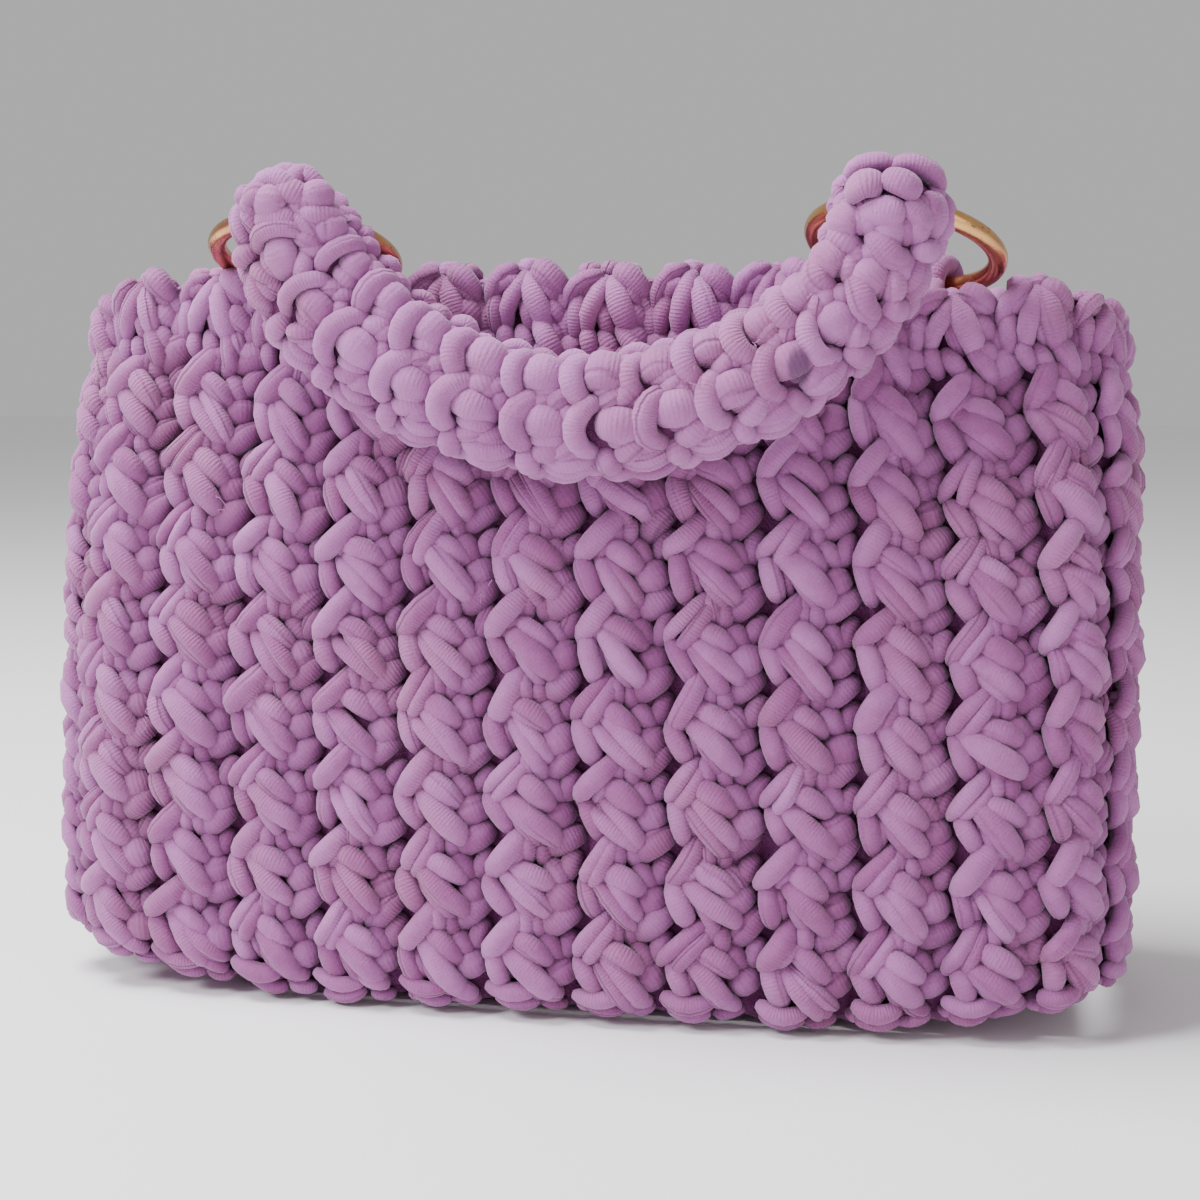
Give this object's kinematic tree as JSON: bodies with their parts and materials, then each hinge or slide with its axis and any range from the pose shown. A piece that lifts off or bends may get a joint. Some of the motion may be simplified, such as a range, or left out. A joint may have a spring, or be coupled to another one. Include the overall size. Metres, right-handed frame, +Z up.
{
  "type": "crochet handbag",
  "caption": "Open-topped handbag crocheted of thick yarn with upright ribs, a scalloped rim and a short thick handle on metal rings.",
  "frame": {"origin": "middle of the base, on the surface that the bag stands on", "axes": "+X along the bag to its right as seen from the front, front faces -Y, +Z up"},
  "size_m": [0.3, 0.1275, 0.2253],
  "materials": {
    "body_yarn": "matt lilac T-shirt yarn",
    "handle_yarn": "matt lilac T-shirt yarn",
    "gold_metal": "polished gold-coloured plating"
  },
  "bodies": {
    "root": {"body_wall_lower": "body_yarn", "body_wall_upper": "body_yarn", "base": "body_yarn", "rim_edging": "body_yarn", "ring_left": "gold_metal", "ring_right": "gold_metal", "ring_loop_left_1": "body_yarn", "ring_loop_left_2": "body_yarn", "ring_loop_right_1": "body_yarn", "ring_loop_right_2": "body_yarn", "handle": "handle_yarn"}
  },
  "joints": []
}
